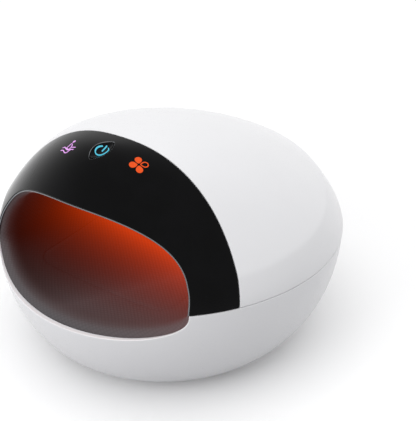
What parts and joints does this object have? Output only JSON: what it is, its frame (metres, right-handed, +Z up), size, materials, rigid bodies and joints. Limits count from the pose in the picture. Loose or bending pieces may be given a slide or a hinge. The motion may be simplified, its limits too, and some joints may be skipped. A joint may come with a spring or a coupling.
{
  "type": "hand massager",
  "caption": "White egg-shaped hand massager with a black front visor, a lined mouth with inflating pads and a warm light, and lit keys on top.",
  "frame": {"origin": "on the standing surface, under the middle of the housing", "axes": "+Z up, the mouth faces -Y, +X is the right side seen from the front"},
  "size_m": [0.1994, 0.2102, 0.1337],
  "materials": {
    "white_shell": "satin gloss white",
    "black_visor": "piano black gloss",
    "silver_trim": "silver metallised",
    "inner_plastic": "moulded dark grey",
    "liner_fabric": "dark grey fine weave",
    "film_copper": "amber film",
    "plate_plastic": "natural moulded",
    "cell_film": "smooth grey film",
    "warm_lens": "translucent red-orange",
    "board_green": "solder mask green",
    "cyan_guide": "translucent cyan",
    "lilac_guide": "translucent lilac",
    "orange_guide": "translucent orange",
    "switch_steel": "pressed sheet",
    "switch_black": "moulded black",
    "steel": "zinc plated",
    "brass": "turned",
    "pump_plastic": "moulded grey",
    "valve_plastic": "moulded off-white",
    "hose_silicone": "milky silicone",
    "cell_wrap": "shrink wrap",
    "cable_jacket": "red jacket",
    "foot_rubber": "matt"
  },
  "bodies": {
    "housing": {"lower_shell": "white_shell", "upper_shell": "white_shell", "front_visor": "black_visor", "mouth_trim": "silver_trim", "chamber_top": "inner_plastic", "chamber_base": "inner_plastic", "liner_top": "liner_fabric", "liner_base": "liner_fabric", "upper_air_cell": "cell_film", "lower_air_cell": "cell_film", "heat_light_lens": "warm_lens", "heat_light_board": "board_green", "massage_light_guide": "lilac_guide", "heat_light_guide": "orange_guide", "control_board": "board_green", "tact_switch": "switch_steel", "pump_motor": "steel", "pump_head": "pump_plastic", "lower_valve_body": "valve_plastic", "upper_valve_body": "valve_plastic", "air_manifold": "pump_plastic", "air_hose_lower": "hose_silicone", "pump_hose": "hose_silicone", "air_hose_upper": "hose_silicone", "battery_cell_front": "cell_wrap", "battery_cell_rear": "cell_wrap", "battery_holder": "pump_plastic", "main_board": "board_green", "charge_socket": "steel", "charge_board": "board_green", "panel_cable": "cable_jacket", "battery_lead": "cable_jacket", "charge_lead": "cable_jacket", "foot_front_left": "foot_rubber", "foot_front_right": "foot_rubber", "foot_rear_left": "foot_rubber", "foot_rear_right": "foot_rubber", "base_screw_front_left": "steel", "base_screw_front_right": "steel", "base_screw_rear_left": "steel", "base_screw_rear_right": "steel", "shell_screw_side_left": "steel", "shell_screw_side_right": "steel", "shell_screw_rear_left": "steel", "shell_screw_rear_right": "steel"},
    "button": {"power_button": "black_visor", "power_light_guide": "cyan_guide"},
    "switch_stem": {"switch_plunger": "switch_black"},
    "roof_press": {"roof_pad": "liner_fabric", "heating_film": "film_copper", "upper_press_plate": "plate_plastic"},
    "floor_press": {"floor_pad": "liner_fabric", "massage_plate": "plate_plastic"},
    "rotor": {"pump_rotor": "brass"},
    "lower_valve_core": {"lower_valve_plunger": "steel"},
    "upper_valve_core": {"upper_valve_plunger": "steel"}
  },
  "joints": [
    {"name": "power_press", "type": "slide", "parent": "housing", "child": "button", "axis": [0, 0.3048, -0.9524], "range_m": [0, 0.0005], "stiffness_N_per_m": 1200, "springref_m": -0.0003},
    {"name": "switch_press", "type": "slide", "parent": "housing", "child": "switch_stem", "axis": [0, 0.3048, -0.9524], "range_m": [0, 0.0005]},
    {"name": "roof_press", "type": "slide", "parent": "housing", "child": "roof_press", "axis": [0, 0, -1], "range_m": [0, 0.01], "stiffness_N_per_m": 250, "springref_m": -0.003, "deforming": ["upper_air_cell"]},
    {"name": "floor_press", "type": "slide", "parent": "housing", "child": "floor_press", "axis": [0, 0, 1], "range_m": [0, 0.007], "stiffness_N_per_m": 250, "springref_m": -0.002, "deforming": ["lower_air_cell"]},
    {"name": "pump_spin", "type": "hinge", "parent": "housing", "child": "rotor", "pos_m": [0.0353, 0.01399, 0.021], "axis": [1, 0, 0], "continuous": true},
    {"name": "lower_valve_open", "type": "slide", "parent": "housing", "child": "lower_valve_core", "axis": [0, 1, 0], "range_m": [0, 0.001], "stiffness_N_per_m": 400, "springref_m": -0.0005},
    {"name": "upper_valve_open", "type": "slide", "parent": "housing", "child": "upper_valve_core", "axis": [0, 1, 0], "range_m": [0, 0.001], "stiffness_N_per_m": 400, "springref_m": -0.0005}
  ],
  "couplings": [
    {"joint": "switch_press", "follows": "power_press", "ratio": 1}
  ]
}
